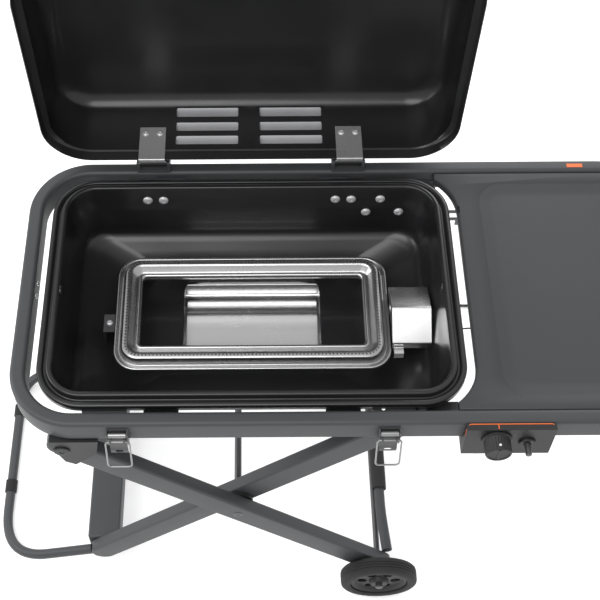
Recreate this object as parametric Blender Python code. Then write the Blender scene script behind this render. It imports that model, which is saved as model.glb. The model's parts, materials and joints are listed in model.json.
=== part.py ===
"""Folding camp grill: a gas firebox in a tubular frame with a side table, on folding scissor legs.

Design lengths are millimetres, written to the scene in metres. X runs along the frame from the firebox
end to the table end, Y runs from the front to the back, and Z is the height above the ground.
The lid is modelled shut and then swung open about its hinge, which is how the grill rests.
"""

import bmesh
import bpy
from math import atan2, cos, degrees, pi, radians, sin
from mathutils import Matrix, Vector

MM = 0.001
GAP = 0.3
CORNER_STEPS = 6

# Where the middle of the whole outline lies, in design coordinates.
ORIGIN_X = 80.75
ORIGIN_Y = 295.73

# Frame loop of rectangular tube.
FRAME_LEFT, FRAME_RIGHT = -398.0, 709.0
FRAME_FRONT, FRAME_BACK = 0.0, 523.0
FRAME_TOP = 720.0
TUBE_WIDTH, TUBE_HEIGHT = 25.0, 50.0
FRAME_CORNER = 105.0
TUBE_EDGE = 7.0
FRAME_BOTTOM = FRAME_TOP - TUBE_HEIGHT
MIDDLE_Y = (FRAME_FRONT + FRAME_BACK) / 2

# Firebox rim.
BOX_X, BOX_Y = -11.0, 263.0
BOX_HALF_X, BOX_HALF_Y = 346.0, 227.0
BOX_CORNER = 76.0
INNER_CORNER = 45.0
DRAIN_HALF_X, DRAIN_FRONT, DRAIN_BACK, DRAIN_CORNER = 123.0, 188.0, 386.0, 38.0
FLOOR_HALF_X, FLOOR_FRONT, FLOOR_BACK = 190.0, 178.0, 392.0
FLOOR_TOP = 560.0
SHEET = 2.0

# Lid, shut, and its hinge line.
LID_HALF_X, LID_HALF_Y = 354.0, 216.0
LID_CORNER = 80.0
LID_STEP = 9.0
LID_RIM = 717.5
LID_BACK = BOX_Y + LID_HALF_Y
LID_FRONT = BOX_Y - LID_HALF_Y
HINGE_Y, HINGE_Z = 508.5, 736.0
HINGE_SPREAD = 172.5
HINGE_WIDTH = 46.0
LEAF_TOP = LID_RIM + 72
LOUVRE_X = -14.0
LOUVRE_ROWS = (762, 793, 824)

# Scissor legs, open.
LEG_DEPTH, LEG_HALF = 25.0, 25.5
TOP_LEFT = (-316.0, 640.0)
CROSSING = (-39.0, 358.0)
LOW_RIGHT = (2 * CROSSING[0] - TOP_LEFT[0], 2 * CROSSING[1] - TOP_LEFT[1])
TOP_RIGHT = (LOW_RIGHT[0], TOP_LEFT[1])
LOW_LEFT = (TOP_LEFT[0], LOW_RIGHT[1])
LEG_B_FRONT = 33.0
PIVOT_RADIUS = 6.5
AXLE_RADIUS = 6.0
WHEEL_RADIUS = LOW_RIGHT[1]
SPACER_RADIUS = 27.5
FOOT_X, FOOT_RADIUS, RING_RADIUS = -535.0, 10.0, 12.5

# Burner and what lies under it.
BURNER_HALF_X, BURNER_HALF_Y, BURNER_CORNER = 237.0, 114.5, 40.0
BURNER_X, BURNER_Y = -10.0, 264.0
SHIELD_SPAN = (227.5, 293.5)
TRAY_HALF_X, TRAY_HALF_Y = 150.0, 129.0
TRAY_TOP = 540.0

# Control panel, with a front that leans back at the top.
PANEL_LEFT, PANEL_RIGHT = 321.5, 461.0
PANEL_TOP, PANEL_LOW = 719.5, 645.0
PANEL_TOP_Y, PANEL_LOW_Y = -12.0, -16.0
KNOB_X, KNOB_Z = 371.0, 692.0
IGNITER_X, IGNITER_Z = 420.0, 682.0
KNOB_RADIUS, KNOB_LENGTH = 21.0, 28.0
BUTTON_RADIUS, BUTTON_OUT = 5.0, 24.0

# Draw latches on the front tube.
LATCH_X = (-221.0, 204.0)
LATCH_PIN_Y, LATCH_PIN_Z = -8.0, 702.0
BAIL_Y, BAIL_Z = -15.0, 693.0
BAIL_LENGTH, BAIL_LEAN = 59.5, radians(15)

# Side table.
TABLE_TOP, TABLE_BOTTOM = 716.0, 698.0
EAR_X = 314.0
EAR_RADIUS = BOX_CORNER + 14.0
RECESS_X = 516.5

# Where the slide tracks cross the gap between firebox and side table.
GAP_LEFT, GAP_RIGHT = 322.0, 362.0

FINISHES = {
    "frame_paint": ((0.075, 0.078, 0.082), 0.45, 0.4),
    "enamel": ((0.012, 0.012, 0.013), 0.3, 0.2),
    "table_plastic": ((0.045, 0.046, 0.048), 0.6, 0.0),
    "black_plastic": ((0.015, 0.015, 0.016), 0.5, 0.0),
    "steel": ((0.62, 0.62, 0.62), 0.25, 1.0),
    "aluminium": ((0.75, 0.75, 0.75), 0.3, 1.0),
    "dark_steel": ((0.12, 0.12, 0.125), 0.4, 0.8),
    "rubber": ((0.02, 0.02, 0.02), 0.8, 0.0),
}
pivots = {}
empties = {}


def clear_scene():
    for old in list(bpy.data.objects):
        bpy.data.objects.remove(old)


def to_world(x, y, z):
    return Vector(((x - ORIGIN_X) * MM, (y - ORIGIN_Y) * MM, z * MM))


def finish_material(name):
    found = bpy.data.materials.get(name)
    if found:
        return found
    colour, roughness, metallic = FINISHES[name]
    made = bpy.data.materials.new(name)
    made.use_nodes = True
    shader = made.node_tree.nodes["Principled BSDF"]
    shader.inputs["Base Color"].default_value = (*colour, 1)
    shader.inputs["Roughness"].default_value = roughness
    shader.inputs["Metallic"].default_value = metallic
    return made


def body(name, pivot=(ORIGIN_X, ORIGIN_Y, 0.0), parent=None):
    """An empty on the joint's axis; every piece of that body hangs on it."""
    empty = bpy.data.objects.new(name + "_pivot", None)
    bpy.context.scene.collection.objects.link(empty)
    pivots[name] = to_world(*pivot)
    empty.location = pivots[name]
    if parent:
        empty.parent = empties[parent]
        empty.location = pivots[name] - pivots[parent]
    empties[name] = empty


def add(name, owner, shape, finish, bevel=0.0, sharp=35.0):
    """Turns a shape in design millimetres into a named object of one body."""
    bmesh.ops.recalc_face_normals(shape, faces=shape.faces)
    for vert in shape.verts:
        vert.co = to_world(*vert.co) - pivots[owner]
    mesh = bpy.data.meshes.new(name)
    shape.to_mesh(mesh)
    shape.free()
    mesh.shade_smooth()
    mesh.set_sharp_from_angle(angle=radians(sharp))
    mesh.materials.append(finish_material(finish))
    made = bpy.data.objects.new(name, mesh)
    bpy.context.scene.collection.objects.link(made)
    made.parent = empties[owner]
    if bevel:
        rounding = made.modifiers.new("edges", "BEVEL")
        rounding.width = bevel * MM
        rounding.segments = 2
        rounding.limit_method = "ANGLE"
        rounding.angle_limit = radians(40)
    return made


def tool(name, owner, shape):
    """A cutter or a joined lug: part of the making, not a piece of the grill."""
    made = add(name, owner, shape, "steel")
    made.hide_render = True
    made.display_type = "WIRE"
    return made


def combine(target, *tools, operation="DIFFERENCE"):
    for helper in tools:
        step = target.modifiers.new(helper.name, "BOOLEAN")
        step.operation = operation
        step.object = helper
    return target


def loft(loops, closed=False):
    """Skins rings of points that all have the same count; open ends are capped."""
    shape = bmesh.new()
    rings = [[shape.verts.new(p) for p in loop] for loop in loops]
    pairs = list(zip(rings, rings[1:]))
    if closed:
        pairs.append((rings[-1], rings[0]))
    count = len(rings[0])
    for low, high in pairs:
        for i in range(count):
            j = (i + 1) % count
            shape.faces.new((low[i], low[j], high[j], high[i]))
    if not closed:
        shape.faces.new(list(reversed(rings[0])))
        shape.faces.new(rings[-1])
    return shape


def rounded_rect(centre, half_x, half_y, corner, z, steps=CORNER_STEPS):
    """A ring of points round a rectangle with round corners, at height z."""
    points = []
    for quarter, (sx, sy) in enumerate(((1, 1), (-1, 1), (-1, -1), (1, -1))):
        for step in range(steps + 1):
            turn = pi / 2 * (quarter + step / steps)
            x = centre[0] + sx * (half_x - corner) + corner * cos(turn)
            y = centre[1] + sy * (half_y - corner) + corner * sin(turn)
            points.append((x, y, z))
    return points


def inset_loops(centre, half_x, half_y, corner, profile, steps=CORNER_STEPS):
    """Rings for a profile of (inset, height) pairs round one rounded rectangle."""
    return [
        rounded_rect(centre, half_x - d, half_y - d, max(corner - d, 8.0), z, steps) for d, z in profile
    ]


def arc(centre, radius, start, end, steps):
    """Points of an arc in a plane, angles in degrees."""
    turns = [radians(start + (end - start) * i / steps) for i in range(steps + 1)]
    return [(centre[0] + radius * cos(t), centre[1] + radius * sin(t)) for t in turns]


def prism_x(outline, low, high):
    return loft([[(x, y, z) for y, z in outline] for x in (low, high)])


def prism_y(outline, low, high):
    return loft([[(x, y, z) for x, z in outline] for y in (low, high)])


def prism_z(outline, low, high):
    return loft([[(x, y, z) for x, y in outline] for z in (low, high)])


def block(x0, x1, y0, y1, z0, z1):
    return prism_z([(x0, y0), (x1, y0), (x1, y1), (x0, y1)], z0, z1)


def turned(base, axis, profile, steps=20, closed=False):
    """A turned piece: profile is (radius, distance along the axis) pairs from the base point."""
    axis = Vector(axis).normalized()
    side = axis.orthogonal().normalized()
    up = axis.cross(side)
    loops = []
    for radius, along in profile:
        middle = Vector(base) + axis * along
        turns = [2 * pi * i / steps for i in range(steps)]
        loops.append([middle + (side * cos(t) + up * sin(t)) * radius for t in turns])
    return loft(loops, closed)


def rod(start, end, radius, steps=14):
    run = Vector(end) - Vector(start)
    return turned(start, run, [(radius, 0.0), (radius, run.length)], steps)


def soft_corners(points, radius, steps=5, closed=False):
    """Replaces each bend of a route with a smooth curve that starts one radius before it."""
    points = [Vector(p) for p in points]
    count = len(points)
    smooth = []
    for i, here in enumerate(points):
        if not closed and i in (0, count - 1):
            smooth.append(here)
            continue
        before, after = points[i - 1], points[(i + 1) % count]
        first = here + (before - here).normalized() * min(radius, (before - here).length / 2.01)
        last = here + (after - here).normalized() * min(radius, (after - here).length / 2.01)
        for step in range(steps + 1):
            t = step / steps
            smooth.append(first * (1 - t) ** 2 + here * (2 * t * (1 - t)) + last * t**2)
    return smooth


def bent_tube(route, radius, steps=10, closed=False):
    """A round bar along a route, its rings carried from point to point without twist."""
    count = len(route)
    loops = []
    side = None
    for i, here in enumerate(route):
        after = route[(i + 1) % count] if closed or i < count - 1 else here
        before = route[i - 1] if closed or i > 0 else here
        along = (after - before).normalized()
        side = along.orthogonal() if side is None else side - along * side.dot(along)
        side.normalize()
        up = along.cross(side)
        turns = [2 * pi * k / steps for k in range(steps)]
        loops.append([here + (side * cos(t) + up * sin(t)) * radius for t in turns])
    return loft(loops, closed)


def strip(route, thickness):
    """The outline of sheet metal that follows a route in a plane, bends included."""
    left, right = [], []
    for i, here in enumerate(route):
        before = route[max(i - 1, 0)]
        after = route[min(i + 1, len(route) - 1)]
        first = atan2(here[1] - before[1], here[0] - before[0]) if i else None
        last = atan2(after[1] - here[1], after[0] - here[0]) if i < len(route) - 1 else first
        first = last if first is None else first
        half_turn = (last - first) / 2
        reach = thickness / 2 / cos(half_turn)
        normal = first + half_turn + pi / 2
        left.append((here[0] + reach * cos(normal), here[1] + reach * sin(normal)))
        right.append((here[0] - reach * cos(normal), here[1] - reach * sin(normal)))
    return left + right[::-1]


def stadium(start, end, radius, steps=8):
    """A bar outline with half-round ends about two centres."""
    lean = degrees(atan2(end[1] - start[1], end[0] - start[0]))
    tail = arc(start, radius, lean + 90, lean + 270, steps)
    head = arc(end, radius, lean - 90, lean + 90, steps)
    return tail + head


def mirrored_y(low, high):
    """A span across the frame, as it lies on the back half."""
    return 2 * MIDDLE_Y - high, 2 * MIDDLE_Y - low


def swing_open(shape):
    """Turns a piece of the shut lid a quarter turn about the hinge line."""
    line = Vector((0, HINGE_Y, HINGE_Z))
    turn = Matrix.Translation(line) @ Matrix.Rotation(-pi / 2, 4, "X") @ Matrix.Translation(-line)
    shape.transform(turn)
    return shape


# ---------------------------------------------------------------- frame


def make_frame_tube():
    half_x = (FRAME_RIGHT - FRAME_LEFT) / 2
    half_y = (FRAME_BACK - FRAME_FRONT) / 2
    centre = ((FRAME_LEFT + FRAME_RIGHT) / 2, MIDDLE_Y)
    section = []
    for (inset, z), start in (
        ((TUBE_EDGE, FRAME_TOP - TUBE_EDGE), 180),
        ((TUBE_WIDTH - TUBE_EDGE, FRAME_TOP - TUBE_EDGE), 90),
        ((TUBE_WIDTH - TUBE_EDGE, FRAME_BOTTOM + TUBE_EDGE), 0),
        ((TUBE_EDGE, FRAME_BOTTOM + TUBE_EDGE), -90),
    ):
        section += arc((inset, z), TUBE_EDGE, start, start - 90, 3)
    add("frame_tube", "frame", loft(
        inset_loops(centre, half_x, half_y, FRAME_CORNER, section, steps=8), closed=True
    ), "frame_paint")


def make_side_table():
    inner_right = FRAME_RIGHT - TUBE_WIDTH - GAP
    front, back = FRAME_FRONT + TUBE_WIDTH + GAP, FRAME_BACK - TUBE_WIDTH - GAP
    corner = FRAME_CORNER - TUBE_WIDTH
    ear_x = BOX_X + BOX_HALF_X - BOX_CORNER
    ear_front = BOX_Y - BOX_HALF_Y + BOX_CORNER
    ear_back = BOX_Y + BOX_HALF_Y - BOX_CORNER
    reach = degrees(atan2((EAR_RADIUS**2 - (EAR_X - ear_x) ** 2) ** 0.5, EAR_X - ear_x))
    outline = [(EAR_X, front)]
    outline += arc((ear_x, ear_front), EAR_RADIUS, -reach, 0, 8)
    outline += arc((ear_x, ear_back), EAR_RADIUS, 0, reach, 8)
    outline += [(EAR_X, back)]
    outline += arc((inner_right - corner, back - corner), corner, 90, 0, 8)
    outline += arc((inner_right - corner, front + corner), corner, 0, -90, 8)
    table = add("side_table", "frame", prism_z(outline, TABLE_BOTTOM, TABLE_TOP), "table_plastic")
    recess = tool("table_recess", "frame", loft([
        rounded_rect((RECESS_X, MIDDLE_Y), 104.0, 187.0, 18.0, TABLE_TOP - 3.5),
        rounded_rect((RECESS_X, MIDDLE_Y), 132.0, 214.0, 46.0, TABLE_TOP + 0.5),
    ]))
    combine(table, recess)


def make_pivot_brackets():
    """A clevis round the top of each A leg, hung under the tube."""
    x, z = TOP_LEFT
    top = FRAME_BOTTOM - GAP
    outline = [(x - 17, top), (x - 17, z + 15), (x, z - 42), (x + 16, z - 53), (x + 54, z - 13), (x + 61, top)]
    for side, front in (("front", True), ("rear", False)):
        spans = {"outer": (-4.0, 29.0), "hollow": (-0.5, 25.5), "pin": (-6.0, 31.0)}
        if not front:
            spans = {key: mirrored_y(*span) for key, span in spans.items()}
        bracket = add(f"pivot_bracket_{side}", "frame", prism_y(outline, *spans["outer"]), "black_plastic")
        hollow = tool(f"pivot_hollow_{side}", "frame", block(
            x - 40, x + 80, *spans["hollow"], z - 80, z + LEG_HALF + 1.5
        ))
        low, high = spans["pin"]
        bore = tool(f"pivot_bore_{side}", "frame", rod((x, low - 4, z), (x, high + 4, z), PIVOT_RADIUS + GAP))
        combine(bracket, hollow, bore)
        pin = [(11.0, 0.0), (11.0, 1.6), (PIVOT_RADIUS, 1.6), (PIVOT_RADIUS, high - low)]
        start, axis = ((x, low, z), (0, 1, 0)) if front else ((x, high, z), (0, -1, 0))
        add(f"pivot_pin_{side}", "frame", turned(start, axis, pin, 16), "dark_steel")


def make_slide_tracks():
    """The slotted rail that the top of each B leg runs along."""
    x0, x1 = TOP_RIGHT[0] - 25.0, TOP_RIGHT[0] + 209.0
    z = TOP_RIGHT[1]
    web = z + LEG_HALF + 2.75
    route = [(26.6, FRAME_TOP - 24), (26.6, web), (62.8, web), (62.8, z - 28)]
    for side, front in (("front", True), ("rear", False)):
        outline = strip(route, 2.5)
        slot = (59.0, 66.0)
        if not front:
            outline = [(2 * MIDDLE_Y - y, height) for y, height in outline]
            slot = mirrored_y(*slot)
        track = add(f"slide_track_{side}", "frame", prism_x(outline, x0, x1), "dark_steel")
        window = stadium((x0 + 25, z), (x0 + 206, z), 7.6, 6)
        low, high = (20.0, 70.0) if front else mirrored_y(20.0, 70.0)
        gap_above = block(GAP_LEFT, GAP_RIGHT, low, high, z + 14, z + 60)
        gap_below = block(GAP_LEFT, GAP_RIGHT, low, high, z - 40, z - 14)
        combine(
            track, tool(f"track_slot_{side}", "frame", prism_y(window, *slot)),
            tool(f"track_window_{side}", "frame", gap_above), tool(f"track_relief_{side}", "frame", gap_below),
        )


def make_firebox_brackets():
    """Z-shaped brackets between the tube's inner face and the firebox wall."""
    reach = 32.5
    for side, tube_y, sign in (("front", 27.0, 1), ("rear", 496.0, -1)):
        box_y = tube_y + sign * (reach if side == "front" else reach - 2)
        outline = strip([(tube_y, FRAME_TOP - 14), (tube_y, 680.0), (box_y, 680.0), (box_y, 695.0)], 2.5)
        for place, x in (("left", -156.0), ("right", 135.0)):
            add(f"firebox_bracket_{side}_{place}", "frame", prism_x(outline, x - 28, x + 28), "frame_paint")


# ---------------------------------------------------------------- firebox and burner


def make_firebox():
    def rim(inset, z):
        corner = max(BOX_CORNER - inset, INNER_CORNER)
        return rounded_rect((BOX_X, BOX_Y), BOX_HALF_X - inset, BOX_HALF_Y - inset, corner, z)

    def bowl(half_x, front, back, corner, z):
        return rounded_rect((BOX_X, (front + back) / 2), half_x, (back - front) / 2, corner, z)

    drain = (DRAIN_HALF_X, DRAIN_FRONT, DRAIN_BACK, DRAIN_CORNER)
    floor = (FLOOR_HALF_X, FLOOR_FRONT, FLOOR_BACK, 44)
    loops = [rim(d, z) for d, z in (
        (0, 700), (0, 712), (2, 714), (9, 714), (10.5, 709), (15, 709), (16.5, 718), (18.5, 720),
        (24, 720), (26, 718), (30, 690), (35, 668), (39, 640),
    )]
    loops += [
        bowl(303, 88, 447, INNER_CORNER, 612), bowl(292, 100, 435, 52, 600),
        bowl(*floor, FLOOR_TOP + 1), bowl(*drain, FLOOR_TOP),
        bowl(*drain, FLOOR_TOP - SHEET), bowl(*floor, FLOOR_TOP - SHEET),
        bowl(294, 98, 437, 54, 598), bowl(305, 86, 449, INNER_CORNER, 611),
    ]
    loops += [rim(d, z) for d, z in (
        (37, 639.5), (33, 667.5), (28, 689), (24, 707), (1.8, 707), (1.8, 700),
    )]
    firebox = add("firebox", "frame", loft(loops, closed=True), "enamel")
    inlet = tool("gas_inlet_hole", "frame", rod((270, BURNER_Y, 640), (330, BURNER_Y, 640), 4.6))
    combine(firebox, inlet)


def make_burner():
    profile = [
        (0, 624), (0, 628.5), (5, 629), (7, 626), (10.5, 626), (13, 638), (16, 642), (24, 643), (27, 641),
        (34, 632), (37, 631), (38, 634.5), (42, 635.5), (44.5, 632), (44.5, 624),
    ]
    add("burner", "frame", loft(inset_loops(
        (BURNER_X, BURNER_Y), BURNER_HALF_X, BURNER_HALF_Y, BURNER_CORNER, profile
    ), closed=True), "steel")
    left = BURNER_X - BURNER_HALF_X - GAP
    route = [(left - 18, 590.0), (left - 18, 627.0), (left, 627.0)]
    add("burner_bracket", "frame", prism_y(strip(route, 2.0), 225.0, 260.0), "dark_steel")
    right = BURNER_X + BURNER_HALF_X + GAP
    add("burner_venturi", "frame", turned(
        (right, BURNER_Y, 635), (1, 0, 0), [(9, 0), (7, 20), (7, 40), (11, 52), (11, 64)], 14
    ), "aluminium")
    roof = strip([(190, 627), (190, 641), (243, 672), (300, 648), (300, 629)], 1.6)
    add("burner_heat_shield", "frame", prism_x(roof, *SHIELD_SPAN), "aluminium")


def make_drip_tray():
    y = BOX_Y
    for side, sign in (("front", -1), ("rear", 1)):
        route = [(y + sign * 146, 556.5), (y + sign * 132, 556.5), (y + sign * 132, 535), (y + sign * 121, 535)]
        add(f"tray_rail_{side}", "frame", prism_x(strip(route, 2.0), BOX_X - 152, BOX_X + 152), "dark_steel")
    profile = [
        (0, TRAY_TOP - 1.5), (0, TRAY_TOP), (13.5, TRAY_TOP), (20, TRAY_TOP - 24), (30, TRAY_TOP - 25),
    ]
    under = [(31, TRAY_TOP - 26.5), (19, TRAY_TOP - 26), (12.5, TRAY_TOP - 1.5)]
    centre = (BOX_X, BOX_Y)
    loops = inset_loops(centre, TRAY_HALF_X, TRAY_HALF_Y, 24, profile + under)
    floor = loops[:5]
    base = loops[5:]
    tray = add("drip_tray", "drip_tray", loft(floor[::-1] + base[::-1]), "aluminium")
    crown = [(361, 514.2), (326, 532), (300, 528.5), (260, 522.5), (215, 518), (170, 515.2), (165, 514.2)]
    ridge = tool("tray_crown", "drip_tray", prism_x(crown, BOX_X - TRAY_HALF_X + 31, BOX_X + TRAY_HALF_X - 31))
    combine(tray, ridge, operation="UNION")


# ---------------------------------------------------------------- lid


def make_lid():
    def ring(step, inset, z):
        corner = LID_CORNER - min(step + inset, 24.0)
        return rounded_rect((BOX_X, BOX_Y), LID_HALF_X - step - inset, LID_HALF_Y - inset, corner, z)

    wall = [
        (0, 0, LID_RIM), (0, 0, 734), (LID_STEP, 0, 742),
        (LID_STEP, 0, 795), (LID_STEP, 3, 827), (LID_STEP, 5, 837),
    ]
    top = [(LID_STEP, 16.5, 848.5), (LID_STEP, 24, 852), (LID_STEP, 60, 858), (LID_STEP, 150, 862)]
    inside = [(step, inset + SHEET, z) for step, inset, z in wall]
    inside += [(step, inset + 1.4, z - 1.6) for step, inset, z in top[:2]]
    inside += [(step, inset, z - SHEET) for step, inset, z in top[2:]]
    loops = [ring(*row) for row in (wall + top)[::-1] + inside]
    shell = add("lid_shell", "lid", swing_open(loft(loops)), "enamel")
    for column in (-74, 74):
        for row in LOUVRE_ROWS:
            x = LOUVRE_X + column
            window = block(x - 55, x + 55, LID_BACK - 14, LID_BACK + 6, row - 8.5, row + 8.5)
            combine(shell, tool(f"louvre_{row}_{column}", "lid", swing_open(window)))

    posts = soft_corners([
        (BOX_X - 150, LID_FRONT - GAP, 778), (BOX_X - 150, LID_FRONT - 40, 778),
        (BOX_X + 150, LID_FRONT - 40, 778), (BOX_X + 150, LID_FRONT - GAP, 778),
    ], 26)
    add("lid_handle", "lid", swing_open(bent_tube(posts, 9.0, 12)), "dark_steel")

    near = LID_FRONT - GAP
    hook = [
        (near, 741), (near, 768), (near - 2, 768), (near - 2, 748.1), (0.2, 748.1), (0.2, 755),
        (-1.6, 755), (-1.6, 746.4), (near - 2, 746.4), (near - 2, 741),
    ]
    for place, x in zip(("left", "right"), LATCH_X):
        add(f"lid_catch_{place}", "lid", swing_open(prism_x(hook, x - 12, x + 12)), "dark_steel")


def make_hinges():
    wall = LID_BACK - SHEET - GAP - 1.1
    under = LID_RIM - GAP - 1.1
    leaf_route = [
        (wall, LEAF_TOP), (wall, under), (LID_BACK + 4, under), (HINGE_Y - 5.5, HINGE_Z - 2.2),
    ]
    ears = [(499, FRAME_TOP + GAP), (FRAME_BACK + GAP, FRAME_TOP + GAP), (FRAME_BACK + GAP, 690)]
    ears += [(FRAME_BACK + 3, 690), (FRAME_BACK + 3, 723), (516.5, 723)]
    ears += arc((HINGE_Y, HINGE_Z), 7.0, -20, 200, 8) + [(500.5, 723), (499, 723)]
    half = HINGE_WIDTH / 2
    for place, x in (("left", BOX_X - HINGE_SPREAD), ("right", BOX_X + HINGE_SPREAD)):
        line = [(x - 31, HINGE_Y, HINGE_Z), (x + 31, HINGE_Y, HINGE_Z)]
        saddle = add(f"hinge_saddle_{place}", "frame", prism_x(ears, x - 29, x + 29), "frame_paint")
        room = tool(f"saddle_room_{place}", "frame", block(x - half - 0.6, x + half + 0.6, 490, 530, 723, 750))
        combine(saddle, room, tool(f"saddle_bore_{place}", "frame", rod(*line, 2.5 + GAP)))
        add(f"hinge_pin_{place}", "frame", rod((x - 30.5, HINGE_Y, HINGE_Z), (x + 30.5, HINGE_Y, HINGE_Z), 2.5),
            "steel")
        leaf = add(f"hinge_leaf_{place}", "lid", swing_open(
            prism_x(strip(leaf_route, 2.2), x - half, x + half)
        ), "steel")
        knuckle = rod((x - half, HINGE_Y, HINGE_Z), (x + half, HINGE_Y, HINGE_Z), 6)
        roll = tool(f"leaf_roll_{place}", "lid", knuckle)
        combine(leaf, roll, operation="UNION")
        combine(leaf, tool(f"leaf_bore_{place}", "lid", rod(*line, 2.5 + GAP)))


# ---------------------------------------------------------------- legs


def leg(name, owner, start, end, span, bores):
    """One rectangular leg tube with a bore at each pivot."""
    made = add(name, owner, prism_y(stadium(start, end, LEG_HALF), *span), "frame_paint", bevel=4.0)
    low, high = span
    for i, ((x, z), radius) in enumerate(bores):
        hole = rod((x, low - 5, z), (x, high + 5, z), radius + GAP, 16)
        combine(made, tool(f"{name}_bore_{i}", owner, hole))


def make_legs():
    a_front, b_front = (0.0, LEG_DEPTH), (LEG_B_FRONT, LEG_B_FRONT + LEG_DEPTH)
    spans = {"front": (a_front, b_front), "rear": (mirrored_y(*a_front), mirrored_y(*b_front))}
    for side, (a_span, b_span) in spans.items():
        leg(f"leg_a_{side}", "legs_a", TOP_LEFT, LOW_RIGHT, a_span,
            [(TOP_LEFT, PIVOT_RADIUS), (CROSSING, PIVOT_RADIUS), (LOW_RIGHT, AXLE_RADIUS)])
        leg(f"leg_b_{side}", "legs_b", LOW_LEFT, TOP_RIGHT, b_span, [(CROSSING, PIVOT_RADIUS)])
        gap = sorted((min(a_span[1], b_span[1]) + GAP, max(a_span[0], b_span[0]) - GAP))
        x, z = CROSSING
        ring = [(PIVOT_RADIUS + GAP, 0), (SPACER_RADIUS, 0), (SPACER_RADIUS, gap[1] - gap[0]),
                (PIVOT_RADIUS + GAP, gap[1] - gap[0])]
        add(f"pivot_spacer_{side}", "legs_a", turned((x, gap[0], z), (0, 1, 0), ring, 24, closed=True),
            "black_plastic")

    x, z = CROSSING
    add("pivot_tube", "legs_a", rod((x, 1, z), (x, FRAME_BACK - 1, z), PIVOT_RADIUS, 16), "dark_steel")
    x, z = LOW_RIGHT
    add("axle", "legs_a", rod((x, -42, z), (x, FRAME_BACK + 42, z), AXLE_RADIUS, 16), "dark_steel")
    bar_x, bar_z = x + 10, z + 24
    bar = soft_corners([
        (bar_x + 8, TUBE_WIDTH + 1.3, bar_z), (bar_x, 110, bar_z), (bar_x, FRAME_BACK - 110, bar_z),
        (bar_x + 8, FRAME_BACK - TUBE_WIDTH - 1.3, bar_z),
    ], 30)
    add("cross_bar", "legs_a", bent_tube(bar, 10.5, 12), "frame_paint")
    sleeve = [(11, 0), (15, 0), (15, 208), (11, 208)]
    add("cross_bar_sleeve", "legs_a", turned((bar_x, 158, bar_z), (0, 1, 0), sleeve, 16, closed=True), "rubber")


def make_foot():
    x, z = LOW_LEFT
    low, high = LEG_B_FRONT + LEG_DEPTH + GAP, FRAME_BACK - LEG_B_FRONT - LEG_DEPTH - GAP
    beam = block(x - 32, x + 32, low, high, z - 24, z + 24)
    add("lower_cross_member", "legs_b", beam, "frame_paint", bevel=4.0)

    front, rear = LEG_B_FRONT + LEG_DEPTH / 2, FRAME_BACK - LEG_B_FRONT - LEG_DEPTH / 2
    run = (Vector((FOOT_X, 0, RING_RADIUS)) - Vector((x, 0, z))).normalized()
    root = Vector((x, 0, z)) + run * (LEG_HALF + 0.8)
    middle = (FOOT_X, MIDDLE_Y, RING_RADIUS)
    route = soft_corners([(root.x, front, root.z), (FOOT_X, front, RING_RADIUS), middle], 115, steps=8)
    route += soft_corners([middle, (FOOT_X, rear, RING_RADIUS), (root.x, rear, root.z)], 68, steps=7)[1:]
    add("foot_bar", "legs_b", bent_tube(route, FOOT_RADIUS, 12), "frame_paint")
    for side, y in (("front", 208.0), ("rear", 390.0)):
        ring = [(FOOT_RADIUS + GAP, 0), (RING_RADIUS, 0), (RING_RADIUS, 28), (FOOT_RADIUS + GAP, 28)]
        band = turned((FOOT_X, y - 14, RING_RADIUS), (0, 1, 0), ring, 16, closed=True)
        add(f"foot_ring_{side}", "legs_b", band, "rubber")


def make_sliders():
    """The flanged stud on top of each B leg, loose in the track's slot."""
    x, z = TOP_RIGHT
    stud = [(7.0, 0), (7.0, 6.4), (11.0, 6.4), (11.0, 9.4)]
    base = LEG_B_FRONT + LEG_DEPTH + GAP
    add("slider_front", "legs_b", turned((x, base, z), (0, 1, 0), stud, 16), "black_plastic")
    add("slider_rear", "legs_b", turned((x, 2 * MIDDLE_Y - base, z), (0, -1, 0), stud, 16), "black_plastic")


def make_wheels():
    r = WHEEL_RADIUS
    half = [(AXLE_RADIUS + GAP, 2), (18, 2), (21, 6), (50, 9), (57, 1), (r - 6, 0), (r, 6)]
    profile = half + [(radius, 34 - y) for radius, y in reversed(half)]
    x, z = LOW_RIGHT
    add("wheel_front", "wheel_front", turned((x, -4, z), (0, -1, 0), profile, 32, closed=True), "rubber")
    rear = turned((x, FRAME_BACK + 4, z), (0, 1, 0), profile, 32, closed=True)
    add("wheel_rear", "wheel_rear", rear, "rubber")


# ---------------------------------------------------------------- controls


def panel_normal():
    run = Vector((0, PANEL_LOW_Y - PANEL_TOP_Y, PANEL_LOW - PANEL_TOP)).normalized()
    return Vector((0, run.z, -run.y))


def on_panel(x, z):
    share = (PANEL_TOP - z) / (PANEL_TOP - PANEL_LOW)
    return Vector((x, PANEL_TOP_Y + share * (PANEL_LOW_Y - PANEL_TOP_Y), z))


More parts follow.
